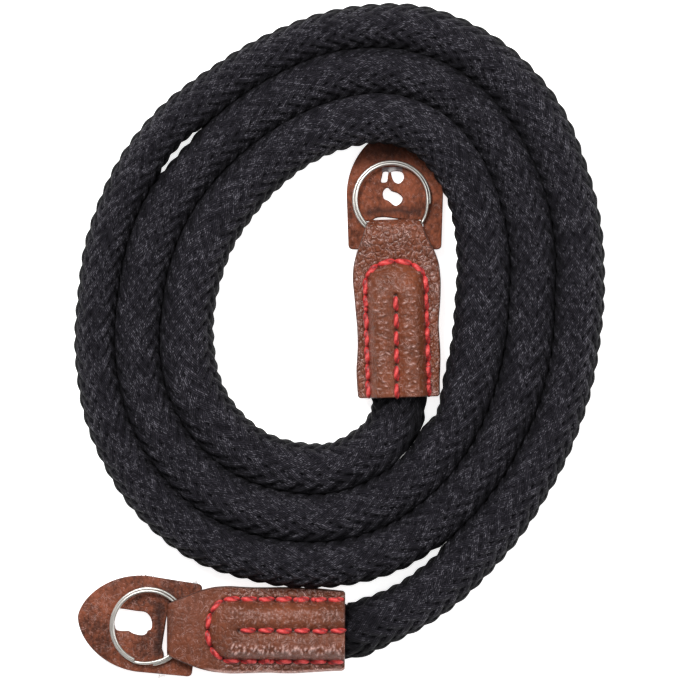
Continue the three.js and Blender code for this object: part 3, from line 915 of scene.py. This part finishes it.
class LeatherForm:
    """Surface of one leather end: x runs from the fold to the mouth, y to the left, z up."""

    def __init__(self, end):
        self.end = end
        self.arch = end["arch"] * MM
        self.seam_half = end["seam_half"] * MM
        self.centre_line = end["centre_line"] * MM
        self.seam = self.seam_line()
        self.seam_holes = self.spaced(self.seam, STITCH_COUNT)
        start = np.array((self.centre_line, 0))
        stop = np.array((LEATHER_LENGTH + CENTRE_PAST, end["line_drift"] * MM))
        self.centre_holes = np.linspace(start, stop, CENTRE_STITCHES + 1)
        rng = np.random.default_rng(end["seed"])
        self.creases = self.lay_creases(rng)
        self.wave_starts = rng.uniform(0, 2 * math.pi, (2, 2))

    def seam_line(self):
        """Points of the arched seam from the mouth on the right round to the mouth on the left."""
        bow = np.linspace(0, math.pi / 2, 40)
        x = self.arch + ARCH_DEPTH * (1 - np.sin(bow) ** (2 / ARCH_POWER))
        y = self.seam_half * np.cos(bow) ** (2 / ARCH_POWER)
        straight = np.linspace(LEATHER_LENGTH - SEAM_SHORT, x[0], 60, endpoint=False)
        half_x = np.concatenate((straight, x))
        half_y = np.concatenate((np.full(len(straight), self.seam_half), y))
        right = np.column_stack((half_x, -half_y))
        left = np.column_stack((half_x, half_y))[::-1]
        return np.vstack((right, left[1:]))

    @staticmethod
    def spaced(line, count):
        run = run_along(line)
        return at_places(np.linspace(0, run[-1], count + 1), run, line)

    def lay_creases(self, rng):
        """Short folds across the pad: place, half length, half breadth, slant and height."""
        creases = []
        step = self.end["crease_step"]
        for side, gain, columns in zip((-1, 1), self.end["crease_gain"], self.end["crease_columns"]):
            for column in columns:
                x = self.centre_line + CREASES_FROM
                while x < LEATHER_LENGTH - CREASES_SHORT:
                    y = side * (column + rng.uniform(-CREASE_STRAY, CREASE_STRAY)) * MM
                    reach = step * rng.uniform(*CREASE_REACH) * MM
                    breadth = rng.uniform(*CREASE_BREADTH) * MM
                    height = gain * rng.uniform(*CREASE_HEIGHT) * MM
                    slant = rng.uniform(-CREASE_SLANT, CREASE_SLANT)
                    creases.append((x, y, reach, breadth, slant, height))
                    x += step * rng.uniform(*CREASE_PITCH) * MM
        return creases

    def row(self, x):
        """half, flat, low, high and crown at x, eased over the corners of the table."""
        shifts = np.linspace(-ROW_EASE, ROW_EASE, 5)
        return [
            sum(np.interp(x + s, LEATHER_ROWS[:, 0], LEATHER_ROWS[:, k]) for s in shifts) / len(shifts)
            for k in range(1, 6)
        ]

    def half(self, x, y):
        """Half width at x on the side of y, with the wander of the cut edge and the mouth's round corners."""
        left, right = (
            np.sin(EDGE_WAVES[0] * x + a) + EDGE_RIPPLE * np.sin(EDGE_WAVES[1] * x + b)
            for a, b in self.wave_starts
        )
        wave = EDGE_WAVE * np.where(y > 0, left, right) * smooth_step(0, EDGE_WAVE_START, x)
        wider = np.where(y > 0, self.end["widen"][1], self.end["widen"][0]) * MM
        wider = wider * smooth_step(*WIDENED[:2], x) * (1 - smooth_step(*WIDENED[2:], x))
        corner = np.clip((x - LEATHER_LENGTH + MOUTH_CORNER) / MOUTH_CORNER, 0, 1)
        return self.row(x)[0] + wave + wider - MOUTH_CORNER * (1 - np.sqrt(1 - corner**2))

    def grain(self, x, y):
        """How deep the grain is: on the neck, beside the seam and on the pad."""
        inside = smooth_step(*PAD_GRAIN, self.seam_distance(x, y))
        beside = smooth_step(*(self.arch + FLANGE_GRAIN), x)
        neck = self.end["neck_grain"]
        outside = neck + (self.end["flange_grain"] - neck) * beside
        return outside + (self.end["pad_grain"] - outside) * inside

    def seam_distance(self, x, y):
        """Distance to the seam, above 0 inside the arch."""
        gap = np.full(np.shape(x), np.inf)
        for px, py in self.seam:
            gap = np.minimum(gap, np.hypot(x - px, y - py))
        bow = np.clip((x - self.arch) / ARCH_DEPTH, 0, 1)
        half = self.seam_half * (1 - (1 - bow) ** ARCH_POWER) ** (1 / ARCH_POWER)
        return np.where((np.abs(y) < half) & (x > self.arch), gap, -gap)

    def top(self, x, y):
        _, _, _, high, crown = self.row(x)
        half = self.half(x, y)
        z = high + (crown - high) * (1 - np.minimum(np.abs(y) / half, 1) ** 2)
        inside = self.seam_distance(x, y)
        climb = 1 - (1 - np.clip(inside / PAD_SHOULDER, 0, 1)) ** 3
        run_up = 0.5 + 0.5 * smooth_step(self.arch, self.arch + PAD_RUN_UP, x)
        z = z + PAD_HEIGHT * climb * run_up
        groove = np.exp(-((y / CENTRE_GROOVE_HALF) ** 2))
        begun = smooth_step(*(self.centre_line + CENTRE_GROOVE_START), x)
        z = z - CENTRE_GROOVE * groove * begun
        z = z - SEAM_TRENCH * np.exp(-((inside / SEAM_TRENCH_HALF) ** 2))
        for height, ridge in self.ridges(x, y):
            z = z + height * ridge
        z = z - HOLE_DEPTH * self.hole_depth(x, y)
        brink = np.clip(1 - (half - np.abs(y)) / EDGE_RADIUS, 0, 1)
        return z - EDGE_RADIUS * (1 - np.sqrt(1 - brink**2))

    def ridges(self, x, y):
        """Height of each crease, and its share of that height at x and y."""
        for cx, cy, reach, breadth, slant, height in self.creases:
            along = np.exp(-(((x - cx - slant * (y - cy)) / breadth) ** 2))
            yield height, along * np.exp(-(((y - cy) / reach) ** 2))

    def crest(self, x, y):
        """1 on the backs of the highest creases, where a highlight is painted."""
        crest = np.zeros(np.shape(x))
        for height, ridge in self.ridges(x, y):
            crest = np.maximum(crest, ridge ** self.end["crest_power"] * height / CREASE_HIGHLIGHT_HEIGHT)
        return np.minimum(crest, 1)

    def hole_depth(self, x, y):
        """1 in the middle of each needle hole."""
        depth = np.zeros(np.shape(x))
        for hx, hy in np.vstack((self.seam_holes[1:-1], self.centre_holes[:-1])):
            depth = np.maximum(depth, np.exp(-(((x - hx) ** 2 + (y - hy) ** 2) / HOLE_RADIUS**2)))
        return depth

    def bottom(self, x, y):
        _, flat, low, _, _ = self.row(x)
        out = np.clip((np.abs(y) - flat) / (self.half(x, y) - flat), 0, 1)
        return low * (1 - (1 - out) ** 2)

    def fold(self, x):
        """0 at the fold's front, 1 where the leather has its full height."""
        return np.sqrt(1 - (1 - np.clip(x / FOLD_RADIUS, 0, 1)) ** 2)


def leather_points(form):
    """Loops of points from the fold over the mouth's rim into the pocket."""
    bow = FOLD_RADIUS * (1 - np.cos(np.linspace(0, math.pi / 2, FOLD_POINTS)))
    corner = MOUTH_CORNER * np.cos(np.linspace(0, math.pi / 2, CORNER_POINTS))
    corner = LEATHER_LENGTH - MOUTH_SHORT - corner
    straight = np.linspace(FOLD_RADIUS, corner[0], LENGTH_POINTS)
    x = np.concatenate((bow, straight[1:], corner[1:]))[:, None]
    u = np.linspace(-1, 1, WIDTH_POINTS)[None]
    y = form.half(x, u) * ((1 - WIDTH_CROWDING) * u + WIDTH_CROWDING * np.sin(math.pi / 2 * u))
    fold = form.fold(x)
    top = FOLD_HEIGHT + (form.top(x, y) - FOLD_HEIGHT) * fold
    bottom = FOLD_HEIGHT + (form.bottom(x, y) - FOLD_HEIGHT) * fold
    wall = WALL_STOPS[None]
    inset = LAYER_GROOVE * np.exp(-(((wall - 0.5) / LAYER_GROOVE_HALF) ** 2)) * fold

    def side(column, sign):
        z = top[:, [column]] * (1 - wall) + bottom[:, [column]] * wall
        return np.stack((x + 0 * z, sign * (form.half(x, sign) - inset), z), axis=2)

    flat = x + 0 * y
    over = np.stack((flat, y, top), axis=2)
    under = np.stack((flat, y, bottom), axis=2)
    loops = np.concatenate((over, side(-1, 1), under[:, ::-1], side(0, -1)[:, ::-1]), axis=1)

    # The rim is eased at the mouth, and the pocket goes back from it
    middle = np.array((0, POCKET_FLOOR + FIT + POCKET_HEIGHT / 2))
    rim = loops[-1].copy()
    arm = rim[:, 1:] - middle
    bearing = np.arctan2(arm[:, 1], arm[:, 0])
    rim[:, 0] = LEATHER_LENGTH
    rim[:, 1:] -= unit_rows(arm) * MOUTH_EASE
    radii = np.array((POCKET_WIDTH, POCKET_HEIGHT)) / 2 + FIT
    round_arm = np.column_stack((np.cos(bearing), np.sin(bearing)))
    round_arm /= np.linalg.norm(round_arm / radii, axis=1)[:, None]
    tail = []
    for along in np.linspace(LEATHER_LENGTH, POCKET_START - FIT, POCKET_POINTS):
        tail.append(np.column_stack((np.full(len(rim), along), middle + round_arm)))
    return np.concatenate((loops, rim[None], np.array(tail)))


def mesh_of(obj):
    """A new mesh with the object's shape as it shows."""
    return bpy.data.meshes.new_from_object(obj.evaluated_get(bpy.context.evaluated_depsgraph_get()))


def cut(obj, cutter):
    """Takes the cutter's room out of the object's mesh."""
    modifier = obj.modifiers.new("room", "BOOLEAN")
    modifier.object = cutter
    modifier.operation = "DIFFERENCE"
    modifier.solver = "EXACT"
    mesh = mesh_of(obj)
    obj.modifiers.clear()
    obj.data = mesh
    bpy.data.objects.remove(cutter)


def ring_room(matrix, material):
    near, far = RING_INNER - FIT, RING_OUTER + FIT
    low, high = -FIT, RING_RISE + RING_COIL + FIT
    profile = ((near, low), (far, low), (far, high), (near, high))
    steps = 96
    loops = []
    for k in range(steps + 1):
        turn = 2 * math.pi * k / steps
        loops.append([(r * math.cos(turn), r * math.sin(turn), z) for r, z in profile])
    points = transformed(matrix, np.array(loops).reshape(-1, 3))
    room = new_object("ring_room", points, loft_faces(steps + 1, len(profile)), material)
    clean_mesh(room.data, WELD)
    return room


def build_leather(end, material):
    form = LeatherForm(end)
    place = end_matrix(end)
    loops = leather_points(form)
    rows, columns = loops.shape[:2]
    faces = loft_faces(rows, columns)
    faces.append(tuple(range((rows - 1) * columns, rows * columns)))
    name = f"leather_{end['name']}"
    leather = new_object(name, transformed(place, loops.reshape(-1, 3)), faces, material)
    clean_mesh(leather.data, 2 * WELD)
    cut(leather, ring_room(place @ ring_matrix(end), material))
    cut(leather, guard_plate("guard_room", end, FIT, material))
    clean_mesh(leather.data, WELD)
    mesh = leather.data
    mesh.polygons.foreach_set("use_smooth", [True] * len(mesh.polygons))
    mesh.set_sharp_from_angle(angle=math.radians(55))

    # The edge is dark on the cut walls and on the rims beside them, apart from a right rim that is painted
    # with a highlight instead
    x, y, z = transformed(place.inverted(), mesh_points(mesh)).T
    _, _, low, high, _ = form.row(x)
    past = np.abs(y) - form.half(x, y)
    wall = (past > WALL_PAST) & (z > low - WALL_UNDER) & (z < high - WALL_SHORT)
    rim = smooth_step(*RIM_DARK, np.maximum(past, x - LEATHER_LENGTH)) * (x > FOLD_RADIUS)
    pale = np.where(y < 0, end["rim_highlight"], 0.0) * smooth_step(*HIGHLIGHT_START, x)
    set_attribute(mesh, "edge", np.where(wall, 1.0, rim) * (1 - pale))
    # Needle holes are painted dark as shade
    set_attribute(mesh, "hole", form.hole_depth(x, y) * (z > high - HOLE_UNDER))
    set_attribute(mesh, "grain", form.grain(x, y))
    # The right rim's painted highlight goes in with the creases' painted highlights
    pale = pale * smooth_step(*RIM_HIGHLIGHT, past)
    set_attribute(mesh, "crest", np.maximum(form.crest(x, y) * (z > high), pale))
    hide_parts(f"leather_end_{end['name']}")
    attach(leather, "root")
    return form


# Stitches

def stitch(line, radius, pinch):
    """A fat thread along a line of points, pinched at its two ends, with its two plies twisted."""
    way = unit_rows(np.gradient(line, axis=0))
    across = unit_rows(np.cross((0, 0, 1), way))
    up = np.cross(way, across)
    t = np.linspace(0, 1, len(line))[:, None]
    angle = np.linspace(0, 2 * math.pi, STITCH_SIDES, endpoint=False)[None]
    ply = np.abs(np.cos(angle - PLY_TWIST * t))
    girth = radius * (pinch + (1 - pinch) * np.sin(math.pi * t) ** 0.5)
    girth = girth * (1 - PLY_DENT + PLY_DENT * ply)
    points = (
        line[:, None]
        + across[:, None] * (girth * np.cos(angle))[..., None]
        + up[:, None] * (THREAD_FLAT * girth * np.sin(angle))[..., None]
    )
    return points, ply.reshape(-1)


def build_stitches(end, form, material):
    rng = np.random.default_rng(end["seed"] + 20)
    arc = np.sin(math.pi * np.linspace(0.01, 0.99, STITCH_RINGS))
    rise = THREAD_RADIUS * (0.4 * arc**0.7 - 0.7 * (1 - arc) ** 3)
    lofts = []
    plies = []

    def lay(spots, base, sink, girth, pinch):
        base = np.maximum(base, np.linspace(base[1], base[-2], len(base)))
        line = np.column_stack((spots, base + rise - sink))
        points, ply = stitch(line, THREAD_RADIUS * girth * rng.uniform(*THREAD_SPREAD), pinch)
        lofts.append(points)
        plies.append(ply)

    t = np.linspace(end["stitch_end"], 1 - end["stitch_end"], STITCH_RINGS)
    fine = form.spaced(form.seam, STITCH_COUNT * SEAM_POINTS)
    for k in range(STITCH_COUNT):
        spots = at_places((k + t) * SEAM_POINTS, np.arange(len(fine)), fine)
        way = spots[-1] - spots[0]
        side = np.array((-way[1], way[0])) / np.linalg.norm(way)
        slant = rng.uniform(*SEAM_SLANT) * MM
        spots = spots + side * ((t - 0.5) * 2 * slant)[:, None]
        lay(spots, form.top(*spots.T), 0, 1.0, end["stitch_pinch"])
    t = np.linspace(CENTRE_END, 1 - CENTRE_END, STITCH_RINGS)
    for start, stop in zip(form.centre_holes, form.centre_holes[1:]):
        spots = start + (stop - start) * t[:, None]
        spots[:, 1] += rng.uniform(-CENTRE_STRAY, CENTRE_STRAY) * MM + (t - 0.5) * CENTRE_SLANT
        base = form.top(np.minimum(spots[:, 0], LEATHER_LENGTH - 0.2 * MM), spots[:, 1])
        past_mouth = np.maximum(0, spots[:, 0] - LEATHER_LENGTH + 0.1 * MM)
        lay(spots, base, 2.5 * past_mouth, CENTRE_THREAD, CENTRE_PINCH)

    points, faces = joined(lofts)
    stitches = new_object(
        f"stitches_{end['name']}", transformed(end_matrix(end), points), faces, material
    )
    set_attribute(stitches.data, "ply", np.concatenate(plies))
    clean_mesh(stitches.data, FINE_WELD)
    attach(stitches, "root")


# Rings

def build_ring(end, material):
    """Two coils of wire joined by a step. The lower coil shows outside the upper one."""
    steps, sides = 240, 24
    turn = np.linspace(RING_ENDS / 2, 4 * math.pi - RING_ENDS / 2, steps)
    climbed = smooth_step(2 * math.pi - RING_JOG / 2, 2 * math.pi + RING_JOG / 2, turn)
    radius = RING_LOWER + (RING_UPPER - RING_LOWER) * climbed
    height = RING_COIL / 2 + RING_RISE * climbed
    angle = np.linspace(0, 2 * math.pi, sides, endpoint=False)
    wide = RING_WIRE / 2 * np.cos(angle)
    tall = RING_COIL / 2 * np.sin(angle)
    girth = np.ones((steps, 1))
    girth[[0, -1]] = RING_END_GIRTH
    reach = radius[:, None] + girth * wide[None]
    points = np.stack((
        reach * np.cos(turn)[:, None],
        reach * np.sin(turn)[:, None],
        height[:, None] + girth * tall[None],
    ), axis=2)
    points = transformed(end_matrix(end) @ ring_matrix(end), points.reshape(-1, 3))
    ring = new_object(f"ring_{end['name']}", points, loft_faces(steps, sides, capped=True), material)
    clean_mesh(ring.data, FINE_WELD)
    ring.data.set_sharp_from_angle(angle=math.radians(60))
    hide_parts(f"split_ring_{end['name']}")
    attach(ring, "root")


# Guards

def guard_outline(end, grow):
    """The tongue from its left shoulder round the tip to the right one, then the two corners of the base."""
    middle = end["guard_off"] * MM
    outline = []
    steps = 40
    for i in range(-steps, steps + 1):
        reach = math.cos(math.pi / 2 * i / steps)
        half = math.copysign((GUARD_HALF + grow) * (1 - reach**2) ** GUARD_TAPER, i)
        outline.append((GUARD_SHOULDER + (GUARD_TIP - grow - GUARD_SHOULDER) * reach, middle - half))
    corner_x = GUARD_BASE + grow - GUARD_CORNER
    corner_y = GUARD_BASE_HALF + grow - GUARD_CORNER
    for side, bearings in ((-1, (-90, -60, -30, 0)), (1, (0, 30, 60, 90))):
        for bearing in bearings:
            turn = math.radians(bearing)
            outline.append((
                corner_x + GUARD_CORNER * math.cos(turn),
                middle + side * corner_y + GUARD_CORNER * math.sin(turn),
            ))
    return outline


def guard_slit(end, grow):
    edge = curve_spans(np.array(SLIT_EDGES[end["name"]]) * MM, 4)
    edge[:, 0] += grow
    half = SLIT_HALF - grow
    near = [(x, max(-half, min(half, y))) for x, y in edge]
    return [*near, (SLIT_TO - grow, half), (SLIT_TO - grow, -half)]


def plate(name, outlines, thickness, bevel, material):
    """A flat plate with rounded edges, from its outline and the outlines of its holes."""
    curve = bpy.data.curves.new(name, "CURVE")
    curve.dimensions = "2D"
    curve.fill_mode = "BOTH"
    curve.extrude = thickness / 2 - bevel
    curve.bevel_depth = bevel
    curve.bevel_resolution = 3
    curve.offset = -bevel
    for outline in outlines:
        spline = curve.splines.new("POLY")
        spline.points.add(len(outline) - 1)
        spline.points.foreach_set("co", [c for x, y in outline for c in (x, y, 0, 1)])
        spline.use_cyclic_u = True
    holder = bpy.data.objects.new(name, curve)
    bpy.context.scene.collection.objects.link(holder)
    mesh = mesh_of(holder)
    bpy.data.objects.remove(holder)
    bpy.data.curves.remove(curve)
    clean_mesh(mesh, WELD)
    return show_mesh(name, mesh, material)


def guard_plate(name, end, grow, material):
    """The guard, or the room for it, which is larger all round and has no windows."""
    outlines = [guard_outline(end, grow), guard_slit(end, grow)]
    if not grow:
        outlines += [
            [tuple(p) for p in curve_spans(np.array(window) * MM, 4, closed=True)]
            for window in WINDOWS[end["name"]]
        ]
    bevel = 0 if grow else GUARD_BEVEL
    obj = plate(name, outlines, GUARD_THICKNESS + 2 * grow, bevel, material)
    lift = Matrix.Translation((0, 0, GUARD_THICKNESS / 2))
    turn = Matrix.Rotation(math.radians(end["guard_turn"]), 4, "Z")
    obj.data.transform(end_matrix(end) @ hardware_matrix() @ turn @ lift)
    return obj


def build_guard(end, material):
    guard = guard_plate(f"guard_{end['name']}", end, 0, material)
    mesh = guard.data
    place = end_matrix(end) @ hardware_matrix()
    flat_up = place.to_3x3() @ Vector((0, 0, 1))
    for face in mesh.polygons:
        face.use_smooth = abs(face.normal.dot(flat_up)) < 0.999
    mesh.set_sharp_from_angle(angle=math.radians(50))
    local = transformed(place.inverted(), mesh_points(mesh))
    z = local[:, 2]
    depth = GUARD_THICKNESS / 2 - np.abs(z - GUARD_THICKNESS / 2)
    set_attribute(mesh, "edge", np.clip(depth / GUARD_BEVEL, 0, 1))
    set_attribute(mesh, "hole", np.zeros(len(z)))
    set_attribute(mesh, "crest", np.zeros(len(z)))
    set_attribute(mesh, "grain", np.full(len(z), end["guard_grain"]))
    corners = np.empty(len(mesh.loops), dtype=np.int32)
    mesh.loops.foreach_get("vertex_index", corners)
    own = local[corners, :2] / MM
    mesh.uv_layers.new(name="guard").data.foreach_set("uv", own.astype(np.float32).ravel())
    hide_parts(f"ring_guard_{end['name']}")
    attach(guard, "root")


def build_fuzz(end, material):
    """Loose fibres of the hide along the cut edge of a guard."""
    rng = np.random.default_rng(end["seed"] + 40)
    rings, sides = 6, 4
    t = np.linspace(0, 1, rings)[:, None]
    angle = np.linspace(0, 2 * math.pi, sides, endpoint=False)
    ring = np.stack((np.cos(angle), np.zeros(sides), np.sin(angle)), axis=1)
    girth = FIBRE_RADIUS * (1 - 0.6 * t)
    lofts = []
    for x, y, spread, count in end["fuzz"]:
        out = np.sign(y)
        for _ in range(count):
            root = np.array((x + rng.uniform(0, spread), y, GUARD_THICKNESS * rng.uniform(0.5, 0.9) / MM))
            root[1] -= out * 0.4
            way = np.array((rng.uniform(-0.5, 0.5), out, rng.uniform(-0.1, 0.4)))
            bend = np.array((rng.uniform(-0.9, 0.9), -0.3 * out, 0))
            line = root + rng.uniform(0.8, 1.7) * (way * t + bend * t**2)
            lofts.append(line[:, None] * MM + girth[..., None] * ring[None])
    points, faces = joined(lofts)
    place = end_matrix(end) @ hardware_matrix()
    fuzz = new_object(f"fuzz_{end['name']}", transformed(place, points), faces, material)
    clean_mesh(fuzz.data, 0.1 * WELD)
    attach(fuzz, "root")


# Stage

def build_camera():
    camera = bpy.data.cameras.new("camera")
    camera.sensor_width = SENSOR / MM
    camera.lens = SENSOR / MM * CAMERA_HEIGHT / (IMAGE_SIDE * PIXEL)
    camera.clip_end = CAMERA_REACH
    obj = bpy.data.objects.new("camera", camera)
    obj.location = VIEW_CENTRE + Vector((0, 0, CAMERA_HEIGHT))
    bpy.context.scene.collection.objects.link(obj)
    bpy.context.scene.camera = obj


def build_floor():
    corners = [(x * FLOOR_HALF, y * FLOOR_HALF, 0) for x, y in ((-1, -1), (1, -1), (1, 1), (-1, 1))]
    floor = new_object("floor", corners, [(0, 1, 2, 3)], floor_material())
    floor.location.z = -FLOOR_DROP


def build_lights():
    world = bpy.data.worlds.new("studio")
    bpy.context.scene.world = world
    world.use_nodes = True
    background = world.node_tree.nodes["Background"]
    background.inputs["Color"].default_value = (1, 1, 1, 1)
    background.inputs["Strength"].default_value = SKY_STRENGTH
    for name, place, size, power in LIGHTS:
        light = bpy.data.lights.new(name, "AREA")
        light.shape = "DISK"
        light.size = size
        light.energy = power
        obj = bpy.data.objects.new(name, light)
        obj.location = place
        obj.rotation_euler = (-Vector(place)).to_track_quat("-Z", "Y").to_euler()
        bpy.context.scene.collection.objects.link(obj)
    bpy.context.scene.view_settings.view_transform = "Standard"


build_camera()
build_rope(rope_material())
hides = {
    "inner": leather_material(
        "leather_inner", HIDE_BROWN, pebble_scale=(840, 640, 740), wrinkle_scale=(420, 900, 500),
        mottle=0.22, gloss=0.22, specular=0.5,
    ),
    "outer": leather_material(
        "leather_outer", WORN_BROWN, pebble_scale=(640, 700, 650), wrinkle_scale=(1500, 380, 500),
        mottle=0.22, gloss=0.22, specular=0.4,
    ),
}
thread = thread_material()
steel = steel_material()
for strap_end in ENDS:
    leather_form = build_leather(strap_end, hides[strap_end["name"]])
    build_stitches(strap_end, leather_form, thread)
    build_ring(strap_end, steel)
    guard_hide = leather_material(
        f"guard_{strap_end['name']}", GUARD_BROWN, pebble_scale=(900, 900, 900),
        wrinkle_scale=(1300, 800, 700), mottle=0.1, gloss=0.5, specular=0.4, marks=guard_marks(strap_end),
    )
    build_guard(strap_end, guard_hide)
    if strap_end["fuzz"]:
        build_fuzz(strap_end, fibre_material())
build_floor()
build_lights()
